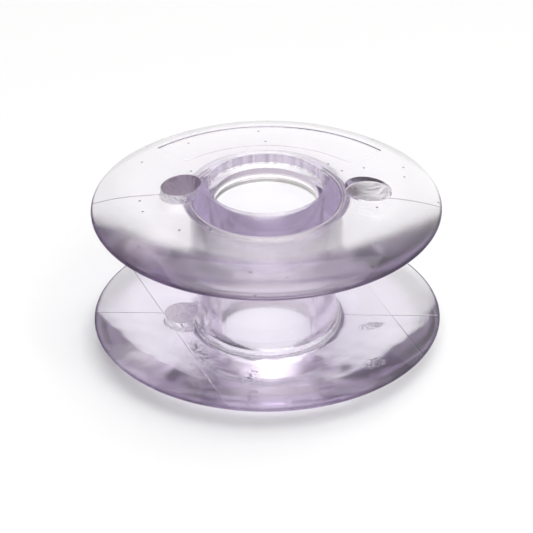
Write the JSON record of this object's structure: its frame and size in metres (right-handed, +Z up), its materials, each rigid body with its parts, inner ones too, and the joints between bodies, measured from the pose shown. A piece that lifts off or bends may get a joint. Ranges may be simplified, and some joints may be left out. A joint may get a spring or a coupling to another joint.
{
  "type": "sewing machine bobbin",
  "caption": "Clear one-piece plastic bobbin with domed flanges, a hollow hub that runs on a post, a thread hole through each flange and a blank arc panel on top.",
  "frame": {"origin": "on the bore's axis, at the face that the bobbin stands on", "axes": "+Z up the bore, +Y towards the blank panel, -X towards the thread holes"},
  "size_m": [0.0205, 0.0204, 0.0107],
  "materials": {
    "clear_plastic": "clear lavender tint, polished"
  },
  "bodies": {
    "root": {"bobbin": "clear_plastic"}
  },
  "joints": []
}
